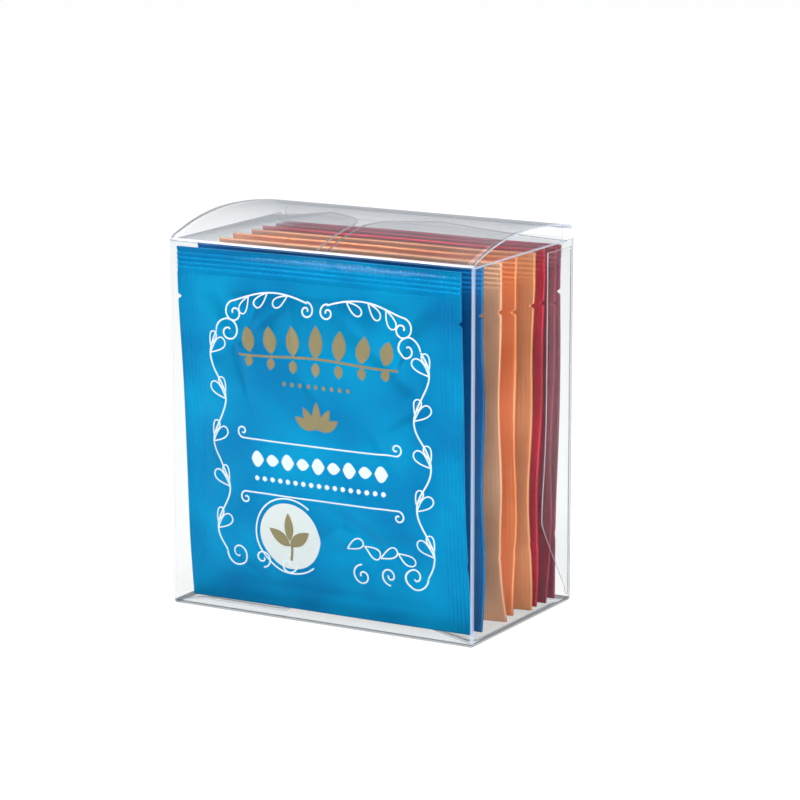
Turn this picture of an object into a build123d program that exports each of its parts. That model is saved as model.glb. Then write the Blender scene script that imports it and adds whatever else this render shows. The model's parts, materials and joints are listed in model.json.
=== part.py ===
from build123d import *
from math import cos, radians, sin, sqrt
import os

# A small clear folding carton that holds a row of sealed tea sachets standing on edge.
# Millimetres, +Z up, front faces -Y, origin at the bottom centre of the carton.

# ---- the clear sheet -------------------------------------------------------------
sheet = 0.4             # thickness of the clear plastic
crease_radius = 0.7     # outside radius of the four upright folds
fold_gap = 0.1          # slack in the fold between the front wall and the lid

# ---- the sachets -----------------------------------------------------------------
sachet_width = 70.6
sachet_height = 79.2
seal_thickness = 0.5    # the pressed rim round each sachet
top_seal = 8.0
bottom_seal = 5.0
swell_bands = 8         # cross-sections between the two seals
flat_bulge = 0.02       # how much a sealed end still bows

# One row per sachet, front to back: name, thickness of its swollen middle, how far back
# from the middle its top and its foot stand, and how far it stands to the right.
sachets = [
    ("sachet_blue_1", 4.5, -2.0, 3.0, -0.9),
    ("sachet_blue_2", 5.3, -0.6, 1.6, -0.2),
    ("sachet_orange_1", 5.9, 0.8, 2.6, 0.6),
    ("sachet_orange_2", 5.9, 1.6, 1.8, -0.4),
    ("sachet_orange_3", 5.2, 2.0, 1.0, 0.7),
    ("sachet_red_1", 5.0, 1.6, 0.2, 0.2),
    ("sachet_red_2", 4.7, 1.1, 0.0, 0.9),
    ("sachet_red_3", 4.2, 0.3, -0.2, 0.5),
]

# ---- room round the sachets ------------------------------------------------------
side_room = 2.3         # between a centred sachet and each side wall
sachet_gap = 0.45       # between swollen middles, and in front of the first
back_gap = 0.9          # behind the last, where the lid's tuck flap goes down
foot_room = 0.3
top_room = 1.7

# ---- the lid ---------------------------------------------------------------------
arch_rise = 4.4         # height of the arch over the front fold
arch_top = 24.0         # how far behind the front fold the arch is highest
arch_end = 2.5          # height of the lid's rear edge over the front fold
lid_relief = 0.3        # how far the lid's sides stand in from the carton's
tuck_clearance = 0.25   # between the tuck flap and the back wall
tuck_length = 11.0
tuck_lean = 3.6         # degrees, tip towards the front
tuck_side_relief = 2.4
tuck_corner = 5.0

# ---- the flaps -------------------------------------------------------------------
dust_front = 1.0        # front edge of a top dust flap, behind the front face
dust_rear_room = 2.6    # between its rear corner and the back wall
dust_split = 2.6        # between the free edges of the two dust flaps
dust_knee = 14.0        # where a rising dust flap meets the lid, from the middle
dust_under_lid = 0.15
dust_free_depth = 22.0  # where the tapered rear edge meets the free edge
dust_corner = 5.0
glue_width = 11.1       # the seam flap inside the right wall
glue_drop = 1.8
glue_taper = 18.0
glue_foot = 1.5
floor_flap_reach = 26.5
floor_flap_taper = 12.4
floor_flap_start = 1.0
floor_notch = 3.7

# ---- sizes that follow -----------------------------------------------------------
swell_total = sum(row[1] for row in sachets)
inner_depth = swell_total + len(sachets) * sachet_gap + back_gap
inner_width = sachet_width + 2 * side_room
width = inner_width + 2 * sheet
depth = inner_depth + 2 * sheet
sachet_foot = 2 * sheet + foot_room
wall_height = sachet_foot + sachet_height + top_room

front_face = -depth / 2
back_inside = depth / 2 - sheet
side_inside = width / 2 - sheet
fold_z = wall_height + fold_gap

front_radius = (arch_top**2 + arch_rise**2) / (2 * arch_rise)
lid_reach = depth - sheet - tuck_clearance
rear_run = lid_reach - arch_top
rear_fall = arch_rise - arch_end
rear_radius = (rear_run**2 + rear_fall**2) / (2 * rear_fall)


def save(solid, node):
    """Write one named piece."""
    solid.label = node
    export_step(solid, os.path.join("parts", node + ".step"))


def arch_height(run, drop=0.0):
    """Height over the fold of a line under the lid, at a run behind the front face."""
    radius = front_radius if run < arch_top else rear_radius
    return arch_rise - radius + sqrt((radius - drop) ** 2 - (run - arch_top) ** 2)


def arch_strip(x, start, end, drop, thickness):
    """Cross-section at x of a sheet under the lid's arch, its top side lowered by drop."""
    top, under = [], []
    for lowered, found in ((drop, top), (drop + thickness, under)):
        for run in (start, (start + arch_top) / 2, arch_top, (arch_top + end) / 2, end):
            found.append((x, front_face + run, fold_z + arch_height(run, lowered)))
    edges = [
        ThreePointArc(under[0], under[1], under[2]),
        ThreePointArc(under[2], under[3], under[4]),
        Line(under[4], top[4]),
        ThreePointArc(top[4], top[3], top[2]),
        ThreePointArc(top[2], top[1], top[0]),
        Line(top[0], under[0]),
    ]
    return make_face(edges)


def flat_strip(x, start, end, top_z, thickness):
    """The same six-sided cross-section, lying flat along a side wall's top fold."""
    corners = [
        (x, front_face + start, top_z - thickness),
        (x, front_face + arch_top, top_z - thickness),
        (x, front_face + end, top_z - thickness),
        (x, front_face + end, top_z),
        (x, front_face + arch_top, top_z),
        (x, front_face + start, top_z),
    ]
    edges = [Line(corners[i], corners[(i + 1) % len(corners)]) for i in range(len(corners))]
    return make_face(edges)


def walls_and_floor():
    """The four upright panels and the floor, folded from one sheet."""
    outside = RectangleRounded(width, depth, crease_radius)
    inside = RectangleRounded(inner_width, depth - 2 * sheet, crease_radius - sheet)
    floor = extrude(outside, sheet)
    ring = extrude(outside - inside, wall_height)
    return floor + ring


def top_dust_flap(side):
    """A flap that rises from a side wall's top fold and lies up against the lid."""
    rear = depth - sheet - dust_rear_room
    free = side * dust_split / 2
    sections = [
        flat_strip(side * width / 2, dust_front, rear, wall_height, sheet),
        arch_strip(side * dust_knee, dust_front, rear, dust_under_lid + fold_gap, sheet),
        arch_strip(free, dust_front, rear, dust_under_lid + fold_gap, sheet),
    ]
    flap = loft(sections, ruled=True)
    outline = make_face(
        Polyline(
            (side * width / 2, front_face + dust_front),
            (free, front_face + dust_front),
            (free, front_face + dust_free_depth),
            (side * width / 2, front_face + rear),
            close=True,
        )
    )
    free_corner = outline.vertices().sort_by_distance((free, front_face + dust_free_depth))[0]
    outline = fillet(free_corner, dust_corner)
    cutter = extrude(Pos(0, 0, wall_height - 2 * sheet) * outline, arch_rise + 4 * sheet)
    return flap & cutter


def floor_flap(side):
    """A flap that lies on the floor, tapered towards the middle."""
    near = side_inside
    far = width / 2 - floor_flap_reach
    start = front_face + floor_flap_start
    if side > 0:
        front_edge = [(far, start + floor_flap_taper)]
    else:
        front_edge = [(near - floor_notch, start + floor_notch), (far, start + floor_notch)]
    corners = [(near, start)] + front_edge
    corners += [(far, -start - floor_flap_taper), (near, -start)]
    outline = make_face(Polyline([(side * x, y) for x, y in corners], close=True))
    return extrude(Pos(0, 0, sheet) * outline, sheet)


def glue_flap():
    """The seam flap that is glued inside the right wall, along the back."""
    front_edge = back_inside - glue_width
    top = wall_height - glue_drop
    outline = make_face(
        Polyline(
            (back_inside, top),
            (front_edge, top),
            (front_edge, glue_foot + glue_taper),
            (back_inside - sheet, glue_foot),
            (back_inside, glue_foot),
            close=True,
        )
    )
    return extrude(Plane.YZ.offset(side_inside - sheet) * outline, sheet)


def box_shell():
    """The carton without its lid, which is one folded and glued sheet."""
    shell = walls_and_floor() + glue_flap()
    for side in (-1, 1):
        shell += floor_flap(side)
        shell += top_dust_flap(side)
    return shell


def lid():
    """The arched lid panel, hinged on the front wall's top fold, with its tuck flap."""
    half = width / 2 - lid_relief
    panel = extrude(arch_strip(-half, 0, lid_reach, -sheet, sheet), 2 * half, dir=(1, 0, 0))
    tuck_width = width - 2 * tuck_side_relief
    rear_top = fold_z + arch_height(lid_reach, -sheet)
    blade = Rectangle(tuck_width, tuck_length, align=(Align.CENTER, Align.MAX))
    tips = blade.vertices().sort_by(Axis.Y)[:2]
    blade = fillet(tips, tuck_corner)
    tuck = extrude(Plane.XZ * blade, sheet)
    tuck = Pos(0, front_face + lid_reach, rear_top) * Rot(-tuck_lean, 0, 0) * tuck
    return panel + tuck


def pouch_section(height, middle, lean_top, lean_foot, shift, bulge):
    """Level cross-section of a sachet, at a height over its foot."""
    swell_height = sachet_height - top_seal - bottom_seal
    swell_place = (height - bottom_seal) / swell_height
    swell = max(4 * swell_place * (1 - swell_place), 0) * (bulge - seal_thickness) / 2
    upright = 2 * height / sachet_height - 1
    bend = (lean_top + lean_foot) / 2 * upright**2 + (lean_top - lean_foot) / 2 * upright
    y, z = middle + bend, sachet_foot + height
    rim, crown = seal_thickness / 2, seal_thickness / 2 + swell + flat_bulge
    left, right = shift - sachet_width / 2, shift + sachet_width / 2
    edges = [
        ThreePointArc((left, y - rim, z), (shift, y - crown, z), (right, y - rim, z)),
        Line((right, y - rim, z), (right, y + rim, z)),
        ThreePointArc((right, y + rim, z), (shift, y + crown, z), (left, y + rim, z)),
        Line((left, y + rim, z), (left, y - rim, z)),
    ]
    return make_face(edges)


def sachet(bulge, lean_top, lean_foot, shift, middle):
    """A sealed pouch: swollen in the middle, thin along its sides, flat at both ends."""
    swell_height = sachet_height - top_seal - bottom_seal
    heights = [bottom_seal + swell_height * i / swell_bands for i in range(swell_bands + 1)]
    heights = [0] + heights + [sachet_height]
    sections = [
        pouch_section(height, middle, lean_top, lean_foot, shift, bulge) for height in heights
    ]
    return loft(sections, ruled=True)


os.makedirs("parts", exist_ok=True)
save(box_shell(), "box_shell")
save(lid(), "lid")

behind = front_face + sheet
for node, bulge, lean_top, lean_foot, shift in sachets:
    middle = behind + sachet_gap + bulge / 2
    save(sachet(bulge, lean_top, lean_foot, shift, middle), node)
    behind = middle + bulge / 2

print("carton", round(width, 2), round(depth, 2), "fold at", round(fold_z, 2))
print("tuck tip height", round(fold_z + arch_end - tuck_length * cos(radians(tuck_lean)), 2))
print("tuck tip lean", round(tuck_length * sin(radians(tuck_lean)), 2))
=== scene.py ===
import json
import math
import random

import bpy
import numpy as np
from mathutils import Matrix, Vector


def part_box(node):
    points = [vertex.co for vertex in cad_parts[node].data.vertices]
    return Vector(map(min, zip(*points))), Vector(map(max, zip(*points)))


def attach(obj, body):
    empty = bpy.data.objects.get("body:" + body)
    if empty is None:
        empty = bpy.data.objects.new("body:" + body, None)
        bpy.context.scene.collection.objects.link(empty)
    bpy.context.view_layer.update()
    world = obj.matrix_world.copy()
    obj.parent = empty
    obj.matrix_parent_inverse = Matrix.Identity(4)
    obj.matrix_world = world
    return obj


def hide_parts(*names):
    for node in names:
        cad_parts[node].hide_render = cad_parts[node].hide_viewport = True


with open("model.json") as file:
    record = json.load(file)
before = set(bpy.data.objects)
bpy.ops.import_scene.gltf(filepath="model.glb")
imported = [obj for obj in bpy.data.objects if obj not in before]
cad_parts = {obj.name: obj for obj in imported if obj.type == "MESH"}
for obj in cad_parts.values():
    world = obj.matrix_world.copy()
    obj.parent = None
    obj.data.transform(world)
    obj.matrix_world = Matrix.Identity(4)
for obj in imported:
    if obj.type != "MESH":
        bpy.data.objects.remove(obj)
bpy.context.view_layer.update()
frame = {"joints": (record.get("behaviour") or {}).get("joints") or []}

MM = 0.001
SHEET = 0.4             # thickness of the clear sheet, in mm like every size below

shell_low, shell_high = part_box("box_shell")
lid_low, lid_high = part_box("lid")
WIDTH = (shell_high.x - shell_low.x) / MM
DEPTH = (shell_high.y - shell_low.y) / MM
HINGE = next(joint for joint in frame["joints"] if joint["name"] == "lid_hinge")
FOLD_Z = HINGE["pos_m"][2] / MM
FRONT = shell_low.y / MM
WALL_TOP = FOLD_Z - 0.1
ARCH_RISE = lid_high.z / MM - SHEET - FOLD_Z
ARCH_TOP = 24.0
ARCH_END = 2.5
LID_REACH = (lid_high.y - lid_low.y) / MM
LID_RELIEF = 0.3        # how far the lid's sides stand in from the carton's
TUCK_LENGTH = 10.4
TUCK_LEAN = math.radians(3.6)
TUCK_SIDE_RELIEF = 2.4
TUCK_CORNER = 5.0
DUST_FRONT = 1.0        # front edge of a top dust flap, behind the front face
DUST_REAR_ROOM = 2.6
DUST_FREE_EDGE = 1.3    # from the middle of the box to a dust flap's free edge
DUST_FREE_DEPTH = 22.0
DUST_KNEE = 14.0        # where a rising dust flap meets the lid, from the middle
DUST_CORNER = 5.0
GLUE_WIDTH = 11.1
GLUE_DROP = 1.8
GLUE_TAPER = 18.0
GLUE_FOOT = 1.5
FLOOR_FLAP_REACH = 26.5
FLOOR_FLAP_TAPER = 12.4
FLOOR_FLAP_NOTCH = 3.7


# ---------------------------------------------------------------- materials
def new_material(name):
    material = bpy.data.materials.new(name)
    material.use_nodes = True
    nodes, links = material.node_tree.nodes, material.node_tree.links
    shader = next(node for node in nodes if node.type == "BSDF_PRINCIPLED")
    output = next(node for node in nodes if node.type == "OUTPUT_MATERIAL")
    return material, nodes, links, shader, output


def foil_material(name, dark, bright, roughness, metallic):
    """Metallic ink on foil laminate: soft colour drift, satin gloss and a fine grain."""
    material, nodes, links, shader, _ = new_material(name)
    place = nodes.new("ShaderNodeTexCoord")
    drift = nodes.new("ShaderNodeTexNoise")
    drift.inputs["Scale"].default_value = 55
    drift.inputs["Detail"].default_value = 3
    ramp = nodes.new("ShaderNodeValToRGB")
    ramp.color_ramp.elements[0].position = 0.32
    ramp.color_ramp.elements[0].color = (*dark, 1)
    ramp.color_ramp.elements[1].position = 0.68
    ramp.color_ramp.elements[1].color = (*bright, 1)
    grain = nodes.new("ShaderNodeTexNoise")
    grain.inputs["Scale"].default_value = 2600
    bump = nodes.new("ShaderNodeBump")
    bump.inputs["Strength"].default_value = 0.12
    bump.inputs["Distance"].default_value = 0.00005
    links.new(place.outputs["Object"], drift.inputs["Vector"])
    links.new(place.outputs["Object"], grain.inputs["Vector"])
    links.new(drift.outputs["Fac"], ramp.inputs["Fac"])
    links.new(ramp.outputs["Color"], shader.inputs["Base Color"])
    links.new(grain.outputs["Fac"], bump.inputs["Height"])
    links.new(bump.outputs["Normal"], shader.inputs["Normal"])
    shader.inputs["Metallic"].default_value = metallic
    shader.inputs["Roughness"].default_value = roughness
    shader.inputs["Specular IOR Level"].default_value = 0.04
    return material


def ink_material(name, colour, roughness, metallic):
    """Printed ink with slight unevenness."""
    material, nodes, links, shader, _ = new_material(name)
    wear = nodes.new("ShaderNodeTexNoise")
    wear.inputs["Scale"].default_value = 900
    ramp = nodes.new("ShaderNodeValToRGB")
    ramp.color_ramp.elements[0].color = (*[0.86 * c for c in colour], 1)
    ramp.color_ramp.elements[1].color = (*colour, 1)
    links.new(wear.outputs["Fac"], ramp.inputs["Fac"])
    links.new(ramp.outputs["Color"], shader.inputs["Base Color"])
    shader.inputs["Roughness"].default_value = roughness
    shader.inputs["Metallic"].default_value = metallic
    return material


def film_material(name, clearness, ior, gloss_roughness):
    """Clear sheet: light passes straight through, and the surface reflects by angle."""
    material, nodes, links, shader, output = new_material(name)
    nodes.remove(shader)
    clear = nodes.new("ShaderNodeBsdfTransparent")
    clear.inputs["Color"].default_value = (*clearness, 1)
    gloss = nodes.new("ShaderNodeBsdfGlossy")
    gloss.inputs["Color"].default_value = (0.92, 0.94, 0.95, 1)
    gloss.inputs["Roughness"].default_value = gloss_roughness
    angle = nodes.new("ShaderNodeFresnel")
    mix = nodes.new("ShaderNodeMixShader")
    # the same index from inside the sheet as from outside, since light goes straight through
    side = nodes.new("ShaderNodeNewGeometry")
    turn = nodes.new("ShaderNodeMath")
    turn.operation = "MULTIPLY_ADD"
    turn.inputs[1].default_value = -2
    turn.inputs[2].default_value = 1
    index = nodes.new("ShaderNodeMath")
    index.operation = "POWER"
    index.inputs[0].default_value = ior
    links.new(side.outputs["Backfacing"], turn.inputs[0])
    links.new(turn.outputs[0], index.inputs[1])
    links.new(index.outputs[0], angle.inputs["IOR"])
    links.new(angle.outputs["Fac"], mix.inputs["Fac"])
    links.new(clear.outputs["BSDF"], mix.inputs[1])
    links.new(gloss.outputs["BSDF"], mix.inputs[2])
    links.new(mix.outputs["Shader"], output.inputs["Surface"])
    return material


def edge_material(name, colour, alpha, roughness):
    """Folded or cut edge of the sheet: a partly opaque colour standing in for the highlight, or at
    bottom folds the shade, that the clear edge shows, over a little real milky whitening at folds.
    """
    material, nodes, links, shader, _ = new_material(name)
    shader.inputs["Base Color"].default_value = (*colour, 1)
    shader.inputs["Roughness"].default_value = roughness
    shader.inputs["Alpha"].default_value = alpha
    return material


FILM_WALL = film_material("clear_wall", (0.95, 0.955, 0.953), 1.08, 0.04)
FILM_LID = film_material("clear_lid", (0.955, 0.96, 0.965), 1.32, 0.18)
FILM_FLAP = film_material("clear_flap", (0.96, 0.963, 0.965), 1.14, 0.10)
# Edge colours paint in the light and shade of the clear sheet's folds and edges: a painted highlight
# over real whitening on the lid's front crease, painted highlights on corner folds and cut edges, and
# painted shade on the bottom folds.
CREASE_WHITENING_AND_HIGHLIGHT = edge_material("crease_whitening_and_painted_highlight", (0.72, 0.78, 0.88), 0.65, 0.25)
SIDE_FOLD_PAINTED_HIGHLIGHT = edge_material("side_fold_painted_highlight", (0.46, 0.52, 0.64), 0.45, 0.3)
BOTTOM_FOLD_PAINTED_SHADE = edge_material("bottom_fold_painted_shade", (0.10, 0.11, 0.12), 0.55, 0.35)
EDGE_PAINTED_HIGHLIGHT = edge_material("cut_edge_painted_highlight", (0.55, 0.60, 0.68), 0.60, 0.3)
# Sachets of one colour share one foil; the copies step from lighter in front to darker behind, painted
# light and shade for how deep each stands in the box.
# node: material, darkest and brightest colour, roughness, metallic
FOIL_LOOKS = {
    "sachet_blue_1": (
        "blue_foil_bright", (0.0, 0.18, 0.43), (0.0, 0.30, 0.58), 0.36, 0.65,
    ),
    "sachet_blue_2": (
        "blue_foil_painted_shade", (0.0, 0.10, 0.32), (0.005, 0.19, 0.46), 0.42, 0.5,
    ),
    "sachet_orange_1": (
        "orange_foil_painted_light", (0.68, 0.31, 0.16), (0.90, 0.48, 0.29), 0.45, 0.5,
    ),
    "sachet_orange_2": (
        "copper_foil", (0.70, 0.20, 0.06), (0.95, 0.36, 0.15), 0.38, 0.6,
    ),
    "sachet_orange_3": (
        "orange_foil_painted_shade", (0.58, 0.22, 0.08), (0.82, 0.36, 0.16), 0.42, 0.5,
    ),
    "sachet_red_1": (
        "red_foil_bright", (0.42, 0.008, 0.025), (0.66, 0.02, 0.055), 0.38, 0.6,
    ),
    "sachet_red_2": (
        "red_foil_painted_shade", (0.25, 0.012, 0.035), (0.38, 0.025, 0.06), 0.42, 0.5,
    ),
    "sachet_red_3": (
        "red_foil_rose_painted_shade", (0.24, 0.015, 0.045), (0.38, 0.03, 0.08), 0.42, 0.5,
    ),
}
MATERIAL = {node: foil_material(*look) for node, look in FOIL_LOOKS.items()}
WHITE_INK = ink_material("white_ink", (0.75, 0.84, 0.88), 0.5, 0.0)
GOLD_INK = ink_material("gold_ink", (0.27, 0.22, 0.10), 0.42, 0.2)
PALE_INK = ink_material("pale_ink", (0.68, 0.73, 0.71), 0.55, 0.0)


# ---------------------------------------------------------------- mesh helpers
def add_mesh(name, points, faces, materials, face_material=None, smooth=True):
    """A mesh object from points in mm, already in the row's frame."""
    mesh = bpy.data.meshes.new(name)
    mesh.from_pydata([tuple(c * MM for c in p) for p in points], [], faces)
    for material in materials:
        mesh.materials.append(material)
    if face_material is not None:
        mesh.polygons.foreach_set("material_index", face_material)
    mesh.polygons.foreach_set("use_smooth", [smooth] * len(mesh.polygons))
    mesh.update()
    piece = bpy.data.objects.new(name, mesh)
    bpy.context.scene.collection.objects.link(piece)
    return piece


def slab(name, front, back, materials, edge_index=0, pick=None):
    """A closed sheet between two grids of points, with its four edges filled."""
    rows, columns = front.shape[:2]
    count = rows * columns
    points = [tuple(p) for p in front.reshape(-1, 3)] + [tuple(p) for p in back.reshape(-1, 3)]
    faces, indices = [], []
    for i in range(rows - 1):
        for j in range(columns - 1):
            a, b = i * columns + j, i * columns + j + 1
            c, d = a + columns, b + columns
            index = pick(i, j) if pick else 0
            faces += [(a, b, d, c), (count + a, count + c, count + d, count + b)]
            indices += [index, index]
    for j in range(columns - 1):
        low, high = j, (rows - 1) * columns + j
        faces += [(low, count + low, count + low + 1, low + 1)]
        faces += [(high + 1, count + high + 1, count + high, high)]
        indices += [edge_index, edge_index]
    for i in range(rows - 1):
        left, right = i * columns, i * columns + columns - 1
        faces += [(left + columns, count + left + columns, count + left, left)]
        faces += [(right, count + right, count + right + columns, right + columns)]
        indices += [edge_index, edge_index]
    return add_mesh(name, points, faces, materials, indices)


def offset_sheet(middle, thickness):
    """The two faces of a sheet of a thickness round a grid of points."""
    along = np.gradient(middle, axis=0)
    across = np.gradient(middle, axis=1)
    normal = np.cross(across, along)
    normal /= np.maximum(np.linalg.norm(normal, axis=2, keepdims=True), 1e-9)
    return middle + normal * thickness / 2, middle - normal * thickness / 2


# ---------------------------------------------------------------- the clear box
CORNERS = ((1, -1), (1, 1), (-1, 1), (-1, -1))


def ring_outline(inset, radius, steps=6):
    """Points round the box's plan, with rounded folds, drawn in by inset."""
    half_x, half_y = WIDTH / 2 - inset, DEPTH / 2 - inset
    radius = max(radius - inset, 0.15)
    points = []
    for corner, (sx, sy) in enumerate(CORNERS):
        for step in range(steps + 1):
            angle = math.radians(-90 + 90 * corner + 90 * step / steps)
            x = sx * (half_x - radius) + radius * math.cos(angle)
            y = sy * (half_y - radius) + radius * math.sin(angle)
            points.append((x, y))
    return points


def walls():
    """The walls and floor as one cup of clear sheet with rounded folds."""
    fold, steps = 0.8, 6
    levels = [(fold * (1 - math.sin(t)), fold * (1 - math.cos(t)))
              for t in [math.pi / 2 * k / 4 for k in range(5)]]
    heights = [(0, z) for z in np.linspace(fold + 2, WALL_TOP, 12)]
    rings = levels + heights
    per_ring = 4 * (steps + 1)
    points, faces, indices = [], [], []
    for thick in (0, SHEET):
        for inset, z in rings:
            for x, y in ring_outline(inset + thick, 0.6, steps):
                lift = z if z > fold else max(z, thick)
                points.append((x, y, lift))
    half = len(rings) * per_ring
    for thick in (0, 1):
        for r in range(len(rings) - 1):
            for k in range(per_ring):
                a = thick * half + r * per_ring + k
                b = thick * half + r * per_ring + (k + 1) % per_ring
                quad = (a, b, b + per_ring, a + per_ring)
                faces.append(quad if thick == 0 else quad[::-1])
                on_fold = k % (steps + 1) != steps
                rear_fold = k // (steps + 1) in (1, 2)
                # bottom fold rings take the dark colour of painted shade; front corner folds the
                # painted side-fold highlight, rear corner folds the painted cut-edge highlight
                if r < len(levels) - 1:
                    indices.append(2)
                elif on_fold:
                    indices.append(3 if rear_fold else 1)
                else:
                    indices.append(0)
        base = [thick * half + k for k in range(per_ring)]
        faces.append(tuple(base[::-1] if thick == 0 else base))
        indices.append(0)
    # the cut top edge takes the painted side-fold highlight
    top = (len(rings) - 1) * per_ring
    for k in range(per_ring):
        a, b = top + k, top + (k + 1) % per_ring
        faces.append((a, b, half + b, half + a))
        indices.append(1)
    materials = [FILM_WALL, SIDE_FOLD_PAINTED_HIGHLIGHT, BOTTOM_FOLD_PAINTED_SHADE, EDGE_PAINTED_HIGHLIGHT]
    return add_mesh("carton_walls", points, faces, materials, indices)


FRONT_RADIUS = (ARCH_TOP**2 + ARCH_RISE**2) / (2 * ARCH_RISE)
REAR_RUN = LID_REACH - ARCH_TOP
REAR_RADIUS = (REAR_RUN**2 + (ARCH_RISE - ARCH_END) ** 2) / (2 * (ARCH_RISE - ARCH_END))


def arch(run):
    """Height of the lid's underside over the front fold."""
    radius = FRONT_RADIUS if run < ARCH_TOP else REAR_RADIUS
    return ARCH_RISE - radius + math.sqrt(radius**2 - (run - ARCH_TOP) ** 2)


def lid_panel():
    """The arched lid with its rounded front fold and rear crease into the tuck flap."""
    half = WIDTH / 2 - LID_RELIEF
    fold = 0.7
    path = [(0.22 + fold * (1 - math.cos(t)), FOLD_Z - 0.45 + fold * math.sin(t))
            for t in [math.radians(75) * k / 5 for k in range(6)]]
    fold_rows = len(path)
    for run in np.linspace(1.4, LID_REACH - 0.9, 30):
        path.append((run, FOLD_Z + arch(run) + SHEET / 2))
    rear_z = FOLD_Z + arch(LID_REACH) + SHEET / 2
    crease_row = len(path)
    path += [(LID_REACH - 0.45, rear_z - 0.12), (LID_REACH - 0.25, rear_z - 0.5)]
    columns = np.linspace(-half, half, 41)
    middle = np.array([[(x, FRONT + run, z) for x in columns] for run, z in path])
    faces = offset_sheet(middle, SHEET)

    # front-fold rows take the crease colour, real whitening with a painted highlight; the rear crease
    # rows and the edges take the painted cut-edge highlight
    def pick(i, j):
        if i < fold_rows:
            return 1 if 1 < i < 4 else 0
        return 2 if i >= crease_row - 1 else 0

    piece = slab("lid_panel", faces[1], faces[0], [FILM_LID, CREASE_WHITENING_AND_HIGHLIGHT, EDGE_PAINTED_HIGHLIGHT], 2, pick)
    return piece, rear_z


def tuck_flap(rear_z):
    """The flap that goes down inside the back wall, with rounded lower corners."""
    half, length, corner = WIDTH / 2 - TUCK_SIDE_RELIEF, TUCK_LENGTH, TUCK_CORNER
    rows = []
    for down in np.linspace(0, length, 14):
        cut = max(down - (length - corner), 0)
        reach = half - (corner - math.sqrt(max(corner**2 - cut**2, 0)))
        y = FRONT + LID_REACH - 0.28 - down * math.sin(TUCK_LEAN)
        z = rear_z - 0.5 - down * math.cos(TUCK_LEAN)
        rows.append([(x, y, z) for x in np.linspace(-reach, reach, 25)])
    faces = offset_sheet(np.array(rows), SHEET * 0.8)
    # its edges take the painted cut-edge highlight
    return slab("tuck_flap", faces[1], faces[0], [FILM_FLAP, EDGE_PAINTED_HIGHLIGHT], 1)


def dust_flap(side):
    """A top flap that rises from the side wall and lies up against the lid."""
    start, rear, free = DUST_FRONT, DEPTH - SHEET - DUST_REAR_ROOM, DUST_FREE_EDGE
    free_depth, corner = DUST_FREE_DEPTH, DUST_CORNER
    rows = []
    for s in np.concatenate([[0, 0.012], np.linspace(0.05, 1, 25)]):
        x = WIDTH / 2 - SHEET / 2 - s * (WIDTH / 2 - free)
        rise = min((WIDTH / 2 - x) / (WIDTH / 2 - DUST_KNEE), 1)
        near_free = max(1 - (x - free) / corner, 0)
        end = free_depth + (rear - free_depth) * (x - free) / (WIDTH / 2 - free)
        end -= corner * (1 - math.sqrt(max(1 - near_free**2, 0))) * 0.9
        row = []
        for run in np.linspace(start, end, 24):
            z = WALL_TOP - SHEET / 2 + rise * (arch(run) - 0.15)
            row.append((side * x, FRONT + run, z))
        rows.append(row)
    faces = offset_sheet(np.array(rows), SHEET * 0.8)
    front, back = faces if side > 0 else faces[::-1]
    name = "dust_flap_right" if side > 0 else "dust_flap_left"
    materials = [FILM_FLAP, SIDE_FOLD_PAINTED_HIGHLIGHT, EDGE_PAINTED_HIGHLIGHT]
    # the hinge row takes the painted side-fold highlight, the edges the painted cut-edge highlight
    return slab(name, back, front, materials, 2, lambda i, j: 1 if i < 1 else 0)


def glue_flap():
    """The seam flap inside the right wall, its foot tapered and standing off a little."""
    rear, top, foot = DEPTH / 2 - SHEET - 0.05, WALL_TOP - GLUE_DROP, GLUE_FOOT
    rows = []
    for z in np.linspace(foot, top, 40):
        lower = min(max((z - foot) / GLUE_TAPER, 0.06), 1)
        bow = 0.9 * math.exp(-(((z - 20) / 14) ** 2))
        row = []
        for s in np.linspace(0, 1, 12):
            y = rear - s * GLUE_WIDTH * lower
            row.append((WIDTH / 2 - SHEET - 0.22 - bow * s**2, y, z))
        rows.append(row)
    faces = offset_sheet(np.array(rows), SHEET * 0.75)
    # its edges take the crease colour, real whitening with a painted highlight
    return slab("glue_flap", faces[0], faces[1], [FILM_FLAP, CREASE_WHITENING_AND_HIGHLIGHT], 1)


def floor_flap(side):
    """A flap that lies on the floor, tapered towards the middle."""
    near, far, start = WIDTH / 2 - SHEET - 0.15, WIDTH / 2 - FLOOR_FLAP_REACH, 1.0
    rows = []
    for s in np.linspace(0, 1, 12):
        x = near - s * (near - far)
        cut = FLOOR_FLAP_TAPER * s if side > 0 else FLOOR_FLAP_NOTCH * min(s * 6, 1)
        depths = np.linspace(start + cut, DEPTH - start - FLOOR_FLAP_TAPER * s, 12)
        rows.append([(side * x, FRONT + y, SHEET * 1.5 + 0.05) for y in depths])
    faces = offset_sheet(np.array(rows), SHEET * 0.8)
    front, back = faces if side > 0 else faces[::-1]
    name = "floor_flap_right" if side > 0 else "floor_flap_left"
    # its edges take the painted cut-edge highlight
    return slab(name, back, front, [FILM_WALL, EDGE_PAINTED_HIGHLIGHT], 1)


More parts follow.
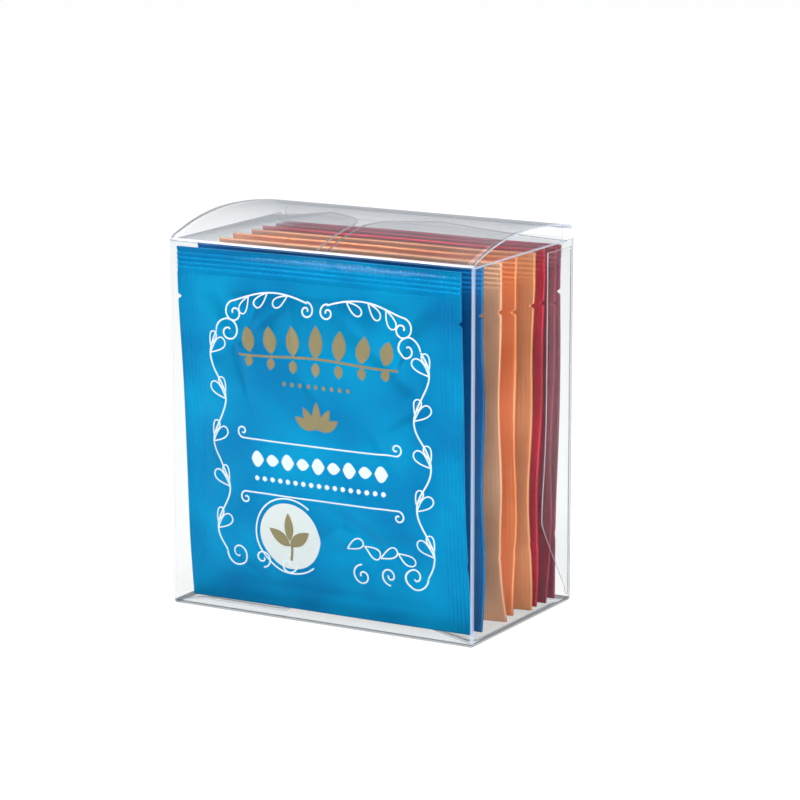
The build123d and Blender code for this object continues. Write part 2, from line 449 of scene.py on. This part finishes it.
# ---------------------------------------------------------------- the sachets
# node: swollen thickness, top lean, foot lean, shift, right-edge curl at top, middle, foot
SACHETS = {
    "sachet_blue_1": (4.5, -2.0, 3.0, -0.9, (0.0, -0.6, 0.2)),
    "sachet_blue_2": (5.3, -0.6, 1.6, -0.2, (0.8, 1.6, -0.4)),
    "sachet_orange_1": (5.9, 0.8, 2.6, 0.6, (1.6, 1.2, 2.0)),
    "sachet_orange_2": (5.9, 1.6, 1.8, -0.4, (2.6, 4.0, 2.4)),
    "sachet_orange_3": (5.2, 2.0, 1.0, 0.7, (2.4, 3.0, 2.4)),
    "sachet_red_1": (5.0, 1.6, 0.2, 0.2, (2.8, 3.0, 1.0)),
    "sachet_red_2": (4.7, 1.1, 0.0, 0.9, (2.2, 2.2, 0.2)),
    "sachet_red_3": (4.2, 0.3, -0.2, 0.5, (0.9, 0.7, -0.4)),
}
SACHET_GAP = 0.45       # between swollen middles
RIM = 0.24              # half the thickness of the sealed edge


class Sachet:
    """The shape of one pouch, as depths over its width and height, in mm."""

    def __init__(self, node, behind, seed):
        self.node = node
        self.bulge, self.lean_top, self.lean_foot, self.shift, self.curl = SACHETS[node]
        self.middle = behind + SACHET_GAP + self.bulge / 2
        low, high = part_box(node)
        self.foot, self.height = low.z / MM, (high.z - low.z) / MM
        self.half = (high.x - low.x) / MM / 2
        rng = random.Random(seed)
        self.dents = []
        for _ in range(34):
            angle = rng.uniform(-0.9, 0.9) + rng.choice((0, math.pi / 2))
            place = rng.uniform(-0.85, 0.85) * self.half, rng.uniform(0.08, 0.9) * self.height
            size = rng.uniform(4, 12), rng.uniform(0.6, 1.9), rng.uniform(-0.6, 0.2)
            self.dents.append((*place, angle, *size))
        self.notch = self.height * rng.uniform(0.845, 0.875)
        self.waves = [(rng.uniform(0.05, 0.16), rng.uniform(0, 6.28)) for _ in range(4)]

    def mid(self, x, z):
        """Depth of the middle surface."""
        up = 2 * z / self.height - 1
        bend = (self.lean_top + self.lean_foot) / 2 * up**2 + (self.lean_top - self.lean_foot) / 2 * up
        top, centre, foot = self.curl
        edge = centre + (top - foot) / 2 * up + ((top + foot) / 2 - centre) * up**2
        edge += 0.5 * np.sin(up * 7 + self.waves[0][1]) * (abs(centre) > 0.9)
        weight = np.clip((x - 12) / (self.half - 12), 0, 1) ** 2
        left = np.clip((-x - 16) / (self.half - 16), 0, 1) ** 2
        seal = np.exp(-(((z - self.height) / 5.0) ** 2)) * 0.22 * np.sin(x / 6.5 + self.waves[1][1])
        left_edge = 0.35 * left * np.sin(up * 4 + self.waves[2][1])
        return self.middle + bend + weight * edge + left_edge + seal

    def swell(self, x, z):
        """Half thickness over the rim."""
        across = np.clip(1 - (np.abs(x) / (self.half - 5.2)) ** 2.4, 0, 1) ** 0.85
        place = np.clip((z - 5) / (self.height - 13.5), 0, 1)
        upright = np.clip(4 * place * (1 - place), 0, 1) ** 0.75
        return (self.bulge / 2 - RIM - 0.12) * across * upright

    def relief(self, x, z):
        """Seal pattern, ribs, wrinkles and dents of the face."""
        top = self.height - z
        dots = np.cos(2 * math.pi * x / 1.03) + np.cos(2 * math.pi * (top - 0.5) / 1.02)
        band = 1 / (1 + np.exp((top - 5.3) / 0.25)) * (top > 0.25)
        lift = 0.13 * dots * band
        margin = self.half - np.abs(x)
        ribs = np.cos(2 * math.pi * margin / 0.95)
        rib_band = 1 / (1 + np.exp((margin - 5.4) / 0.2)) * (1 - band)
        lift = lift + 0.12 * ribs * rib_band
        free = np.clip((margin - 4) / 5, 0, 1) * np.clip((top - 6) / 5, 0, 1)
        free = free * np.clip((z - 4) / 5, 0, 1)
        for cx, cz, angle, length, breadth, depth in self.dents:
            u = (x - cx) * math.cos(angle) + (z - cz) * math.sin(angle)
            v = -(x - cx) * math.sin(angle) + (z - cz) * math.cos(angle)
            lift = lift + depth * np.exp(-((u / length) ** 2) - (v / breadth) ** 2) * free
        spokes = np.arctan2(z - self.height * 0.5, np.abs(x) + 1e-6)
        reach = np.clip((np.hypot(x / self.half, 2 * z / self.height - 1) - 0.55) / 0.4, 0, 1)
        lift = lift + 0.24 * np.sin(spokes * 22 + self.waves[3][1]) * reach * free
        return lift

    def front(self, x, z):
        """Depth of the front face."""
        return self.mid(x, z) - RIM - self.swell(x, z) - self.relief(x, z)

    def back(self, x, z):
        """Depth of the back face, its relief mirrored and softer."""
        return self.mid(x, z) + RIM + self.swell(x, z) + 0.7 * self.relief(-x, z)

    def outline(self, z):
        """Left and right edge at a height, with a small tear notch in each side."""
        wander = 0.18 * np.sin(z / 9 + self.waves[0][1])
        notch = 0.8 * np.exp(-(((z - self.notch) / 0.35) ** 2))
        low = 0.6 * np.exp(-(((z - self.height * 0.19) / 0.35) ** 2))
        return -self.half + wander + notch, self.half + wander - notch - low


def sachet_piece(sachet, detail):
    """The pouch as a closed mesh, finest where the seals are."""
    z_rows = np.concatenate([
        np.linspace(0, 1.2, 4),
        np.linspace(1.2, sachet.height - 6.3, int(105 * detail) + 2)[1:],
        np.linspace(sachet.height - 6.3, sachet.height, int(32 * detail) + 6)[1:],
    ])
    notch = sachet.notch
    z_rows = np.unique(np.concatenate([z_rows, np.linspace(notch - 0.9, notch + 0.9, 9)]))
    share = np.linspace(-1, 1, int(270 * detail))
    left, right = sachet.outline(z_rows)
    x = (left + right)[:, None] / 2 + share[None, :] * ((right - left) / 2)[:, None]
    z = np.repeat(z_rows[:, None], len(share), axis=1)
    bow = 0.6 * (z / sachet.height) ** 6 * (0.7 + 0.3 * np.cos(x / sachet.half * 1.5))
    shapes = []
    for depths in (sachet.front(x, z), sachet.back(x, z)):
        y = np.clip(FRONT + depths, FRONT + SHEET + 0.06, -FRONT - SHEET - 0.06)
        shapes.append(np.stack([x + sachet.shift, y, sachet.foot + z + bow - 0.1], axis=2))
    return slab(sachet.node + "_pouch", shapes[0], shapes[1], [MATERIAL[sachet.node]])


# ---------------------------------------------------------------- the print
class Print:
    """Closed strips and patches of ink that follow a sachet's face."""

    def __init__(self, sachet, back=False):
        self.sachet, self.back = sachet, back
        self.points, self.faces = [], []

    def place(self, x, z, lift):
        """A point on the sachet's face, from its middle, raised by lift."""
        sachet = self.sachet
        z = z + sachet.height / 2
        xs, zs = np.array([x], float), np.array([z], float)
        bow = 0.6 * (z / sachet.height) ** 6 * (0.7 + 0.3 * math.cos(x / sachet.half * 1.5))
        if self.back:
            xs = -xs
            y = FRONT + sachet.back(xs, zs)[0] + lift
        else:
            y = FRONT + sachet.front(xs, zs)[0] - lift
        return (xs[0] + sachet.shift, y, sachet.foot + z + bow - 0.1)

    def stroke(self, line, width=0.34):
        """A line of ink along points (x, z) from the sachet's middle."""
        line = [Vector(p) for p in line]
        start = len(self.points)
        count = len(line)
        for i, point in enumerate(line):
            ahead = line[min(i + 1, count - 1)] - line[max(i - 1, 0)]
            side = Vector((-ahead.y, ahead.x)).normalized() * width / 2
            for lift in (0.07, -0.02):
                for sign in (1, -1):
                    self.points.append(self.place(*(point + side * sign), lift))
        for i in range(count - 1):
            a = start + 4 * i
            for p, q in ((0, 1), (1, 3), (3, 2), (2, 0)):
                self.faces.append((a + p, a + q, a + q + 4, a + p + 4))
        self.faces.append((start, start + 2, start + 3, start + 1))
        end = start + 4 * (count - 1)
        self.faces.append((end, end + 1, end + 3, end + 2))

    def patch(self, lower, upper, lift=0.08):
        """A filled shape between two outlines that share their ends."""
        start = len(self.points)
        across = 4
        for low, high in zip(lower, upper):
            low, high = Vector(low), Vector(high)
            for level in (lift, -0.02):
                for k in range(across + 1):
                    p = low.lerp(high, k / across)
                    self.points.append(self.place(p.x, p.y, level))
        row = 2 * (across + 1)
        for i in range(len(lower) - 1):
            a = start + i * row
            for k in range(across):
                self.faces.append((a + k, a + k + 1, a + row + k + 1, a + row + k))
                b = a + across + 1
                self.faces.append((b + k, b + row + k, b + row + k + 1, b + k + 1))
            self.faces.append((a, a + row, a + row + across + 1, a + across + 1))
            c, d = a + across, a + 2 * across + 1
            self.faces.append((c, d, d + row, c + row))
        for a in (start, start + (len(lower) - 1) * row):
            for k in range(across):
                quad = (a + k, a + across + 1 + k, a + across + 2 + k, a + k + 1)
                self.faces.append(quad if a == start else quad[::-1])

    def leaf(self, x, z, angle, length, breadth):
        """A filled leaf with pointed ends."""
        lower, upper = [], []
        for i in range(9):
            t = i / 8
            half = breadth / 2 * math.sin(math.pi * t) ** 0.8 * (1.15 - 0.3 * t) + 0.02
            for sign, found in ((-1, lower), (1, upper)):
                u, v = length * t, sign * half
                found.append((x + u * math.cos(angle) - v * math.sin(angle),
                              z + u * math.sin(angle) + v * math.cos(angle)))
        self.patch(lower, upper)

    def leaf_line(self, x, z, angle, length, breadth):
        """The outline of a leaf."""
        outline = []
        for i in range(25):
            t = i / 24
            u = length * math.sin(math.pi * t)
            v = breadth / 2 * math.sin(2 * math.pi * t)
            outline.append((x + u * math.cos(angle) - v * math.sin(angle),
                            z + u * math.sin(angle) + v * math.cos(angle)))
        self.stroke(outline, 0.28)

    def disc(self, x, z, radius, lift=0.06):
        """A filled circle of ink."""
        angles = [math.pi * i / 36 for i in range(37)]
        lower = [(x - radius * math.cos(a), z - radius * math.sin(a) - 0.01) for a in angles]
        upper = [(x - radius * math.cos(a), z + radius * math.sin(a) + 0.01) for a in angles]
        self.patch(lower, upper, lift)

    def piece(self, name, material):
        """Everything drawn so far as one mesh."""
        return add_mesh(name, self.points, self.faces, [material], smooth=False)


def spiral(x, z, radius, start, turns, shrink=0.15, steps=34):
    """Points of a curl that winds in round (x, z)."""
    found = []
    for i in range(steps + 1):
        t = i / steps
        r = radius * (1 - (1 - shrink) * t)
        a = start + turns * 2 * math.pi * t
        found.append((x + r * math.cos(a), z + r * math.sin(a)))
    return found


def vine(ink, side, low, high):
    """A wavy stem with leaves, up one side of the face."""
    steps = 70
    stem = []
    for i in range(steps + 1):
        t = i / steps
        stem.append((side * (25.6 + 1.9 * math.sin(t * 5 * math.pi)), low + (high - low) * t))
    ink.stroke(stem)
    for k in range(5):
        t = (k + 0.5) / 5
        z = low + (high - low) * t
        lean = math.sin(t * 5 * math.pi) * side
        outward = math.pi if lean > 0 else 0
        x = side * (25.6 + 1.9 * math.sin(t * 5 * math.pi))
        tilt = 0.7 if outward == 0 else -0.7
        ink.leaf_line(x, z, outward + tilt, 5.0, 2.4)
        ink.leaf_line(x, z + 1.6, outward + tilt * 1.7, 3.4, 1.7)
    curl = spiral(side * 22.4, high + 0.2, 3.2, 0 if side > 0 else math.pi, 1.35 * side)
    ink.stroke(curl)
    ink.stroke(spiral(side * 22.4, low - 0.2, 3.2, 0 if side > 0 else math.pi, -1.35 * side))


def face_print(sachet, tag, back=False):
    """A generic printed face: leafy borders, a gold garland, a ruled band and a roundel."""
    white, gold, pale = Print(sachet, back), Print(sachet, back), Print(sachet, back)
    for side in (-1, 1):
        vine(white, side, -28, 22)
        bough = [(side * 21 * t, 29 + 2.4 * math.sin(math.pi * t)) for t in np.linspace(0.12, 1, 26)]
        white.stroke(bough)
        white.stroke(spiral(side * 21, 26.4, 2.6, math.pi / 2, -1.3 * side))
        white.stroke(spiral(side * 2.6, 28.3, 1.9, math.pi / 2, 1.3 * side))
        for reach, tilt in ((0.35, -0.6), (0.6, -0.8), (0.82, -1.1)):
            heading = tilt if side > 0 else math.pi - tilt
            white.leaf_line(side * 21 * reach, 29 + 2.4 * math.sin(math.pi * reach), heading, 4.4, 2.0)
        white.stroke(spiral(side * 9.5, -29.3, 2.6, math.pi / 2, 1.3 * side))
        white.stroke(spiral(side * 16.2, -28.6, 2.2, -math.pi / 2, -1.3 * side))
    # gold garland where the large words were
    for k in range(7):
        x = (k - 3) * 5.6
        size = 7.2 - 0.55 * abs(k - 3)
        gold.leaf(x, 18.2, math.pi / 2 + 0.22 * (3 - k) / 3, size, 3.3)
        gold.leaf(x, 17.4, -math.pi / 2 - 0.22 * (3 - k) / 3, size * 0.45, 2.0)
    gold.stroke([(x, 17.8 + 0.4 * math.cos(x / 6)) for x in np.linspace(-20, 20, 40)], 0.5)
    for x in np.linspace(-8, 8, 9):
        gold.leaf(x - 0.5, 12.0, 0, 1.0, 1.0)
    # small gold fan below it
    for k in range(5):
        angle = math.pi / 2 + (k - 2) * 0.5
        gold.leaf(0.6 * (2 - k), 2.4, angle, 6.4 - 0.7 * abs(k - 2), 2.1)
    # ruled band with a row of lozenges
    for z, reach in ((-1.2, 19.5), (-13.4, 19.5)):
        white.stroke([(x, z) for x in np.linspace(-reach, reach, 40)], 0.32)
        white.stroke(spiral(reach - 0.2, z + (1.5 if z > -5 else -1.5), 1.5,
                            -math.pi / 2 if z > -5 else math.pi / 2, 1.1 if z > -5 else -1.1))
        white.stroke(spiral(-reach + 0.2, z + (1.5 if z > -5 else -1.5), 1.5,
                            -math.pi / 2 if z > -5 else math.pi / 2, -1.1 if z > -5 else 1.1))
    for k in range(9):
        x = (k - 4) * 3.9
        white.leaf(x - 1.6, -5.6, 0, 3.2, 2.6 if k % 2 else 3.6)
    for k in range(17):
        white.leaf((k - 8) * 2.0 - 0.6, -10.0, 0, 1.2, 1.1)
    # roundel with a two-leaf sprig
    cx, cz, radius = -8.5, -22.6, 7.6
    pale.disc(cx, cz, radius)
    white.stroke([(cx + (radius + 1.1) * math.cos(a), cz + (radius + 1.1) * math.sin(a))
                  for a in np.linspace(0.9, 5.4, 60)])
    sprig = Print(sachet, back)
    sprig.leaf(cx, cz - 1.0, math.pi / 2, 6.4, 2.2)
    sprig.leaf(cx, cz - 2.2, math.pi / 2 + 0.95, 6.2, 2.7)
    sprig.leaf(cx, cz - 2.2, math.pi / 2 - 0.95, 6.2, 2.7)
    stalk = [(cx + 0.5 * math.sin(t * 2), cz - 5.6 + 4.8 * t) for t in np.linspace(0, 1, 10)]
    sprig.stroke(stalk, 0.55)
    sprig.points = [(p[0], p[1] - (-0.05 if back else 0.05), p[2]) for p in sprig.points]
    for k in range(4):
        white.leaf_line(6 + 4.2 * k, -23.5 + 1.2 * math.sin(k * 2.2), 0.5 - 1.0 * (k % 2), 4.4, 2.2)
    return [white.piece(tag + "_print_white", WHITE_INK), gold.piece(tag + "_print_gold", GOLD_INK),
            pale.piece(tag + "_print_pale", PALE_INK), sprig.piece(tag + "_print_sprig", GOLD_INK)]


# ---------------------------------------------------------------- stage
def area_light(name, place, target, size, power):
    """A soft lamp of a size in metres, turned to a target."""
    data = bpy.data.lights.new(name, "AREA")
    data.shape = "RECTANGLE"
    data.size, data.size_y = size
    data.energy = power
    lamp = bpy.data.objects.new(name, data)
    lamp.location = place
    lamp.rotation_euler = (Vector(target) - Vector(place)).to_track_quat("-Z", "Y").to_euler()
    bpy.context.scene.collection.objects.link(lamp)


def stage():
    """White floor with a soft shadow, three lamps, and a world that is white to the camera."""
    scene = bpy.context.scene
    reach = 3.0
    floor = add_mesh("floor", [(-reach / MM, -reach / MM, 0), (reach / MM, -reach / MM, 0),
                               (reach / MM, reach / MM, 0), (-reach / MM, reach / MM, 0)],
                     [(0, 1, 2, 3)], [])
    material, nodes, links, shader, output = new_material("floor_white")
    shader.inputs["Base Color"].default_value = (0.9, 0.9, 0.9, 1)
    shader.inputs["Roughness"].default_value = 0.9
    glow = nodes.new("ShaderNodeEmission")
    glow.inputs["Strength"].default_value = 1.2
    path = nodes.new("ShaderNodeLightPath")
    share = nodes.new("ShaderNodeMath")
    share.operation = "MULTIPLY"
    share.inputs[1].default_value = 0.72
    mix = nodes.new("ShaderNodeMixShader")
    links.new(path.outputs["Is Camera Ray"], share.inputs[0])
    links.new(share.outputs[0], mix.inputs["Fac"])
    links.new(shader.outputs["BSDF"], mix.inputs[1])
    links.new(glow.outputs["Emission"], mix.inputs[2])
    links.new(mix.outputs["Shader"], output.inputs["Surface"])
    floor.data.materials.append(material)

    world = bpy.data.worlds.new("studio")
    scene.world = world
    world.use_nodes = True
    nodes, links = world.node_tree.nodes, world.node_tree.links
    back = nodes["Background"]
    back.inputs["Color"].default_value = (0.44, 0.45, 0.48, 1)
    white = nodes.new("ShaderNodeBackground")
    path = nodes.new("ShaderNodeLightPath")
    mix = nodes.new("ShaderNodeMixShader")
    links.new(path.outputs["Is Camera Ray"], mix.inputs["Fac"])
    links.new(back.outputs["Background"], mix.inputs[1])
    links.new(white.outputs["Background"], mix.inputs[2])
    white.inputs["Color"].default_value = (1, 1, 1, 1)
    links.new(mix.outputs["Shader"], nodes["World Output"].inputs["Surface"])

    area_light("key", (-0.35, -0.45, 0.55), (0, 0, 0.04), (0.18, 0.18), 4.0)
    area_light("fill", (0.60, -0.40, 0.25), (0, 0, 0.04), (0.22, 0.30), 4.0)
    area_light("top", (0.05, 0.25, 0.70), (0, 0, 0.05), (0.50, 0.40), 3.4)
    scene.view_settings.view_transform = "Standard"
    scene.cycles.transparent_max_bounces = 24


def camera():
    """The viewing angle: 30 degrees to the right and 12 above, from three quarters of a metre."""
    azimuth, elevation, distance = math.radians(29.76), math.radians(11.83), 0.757
    target = Vector((0.0071, 0, 0.0467))
    back = Vector((math.sin(azimuth) * math.cos(elevation), -math.cos(azimuth) * math.cos(elevation),
                   math.sin(elevation)))
    data = bpy.data.cameras.new("camera")
    data.lens, data.sensor_width = 154.9, 36
    data.clip_start, data.clip_end = 0.01, 20
    view = bpy.data.objects.new("camera", data)
    view.location = target + back * distance
    view.rotation_mode = "QUATERNION"
    view.rotation_quaternion = (-back).to_track_quat("-Z", "Y")
    bpy.context.scene.collection.objects.link(view)
    bpy.context.scene.camera = view


# ---------------------------------------------------------------- assembly
camera()
stage()

for piece in (walls(), dust_flap(1), dust_flap(-1), glue_flap(), floor_flap(1), floor_flap(-1)):
    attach(piece, "box")
    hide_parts("box_shell")

panel, rear_z = lid_panel()
for piece in (panel, tuck_flap(rear_z)):
    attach(piece, "lid")
    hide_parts("lid")

behind = SHEET
shapes = []
for number, node in enumerate(SACHETS):
    shape = Sachet(node, behind, 100 + number)
    behind = shape.middle + shape.bulge / 2
    shapes.append(shape)
    piece = sachet_piece(shape, 1.0 if number == 0 else 0.6)
    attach(piece, "box")
    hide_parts(node)

for inks in (face_print(shapes[0], "blue_1"), face_print(shapes[-1], "red_3", back=True)):
    for piece in inks:
        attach(piece, "box")
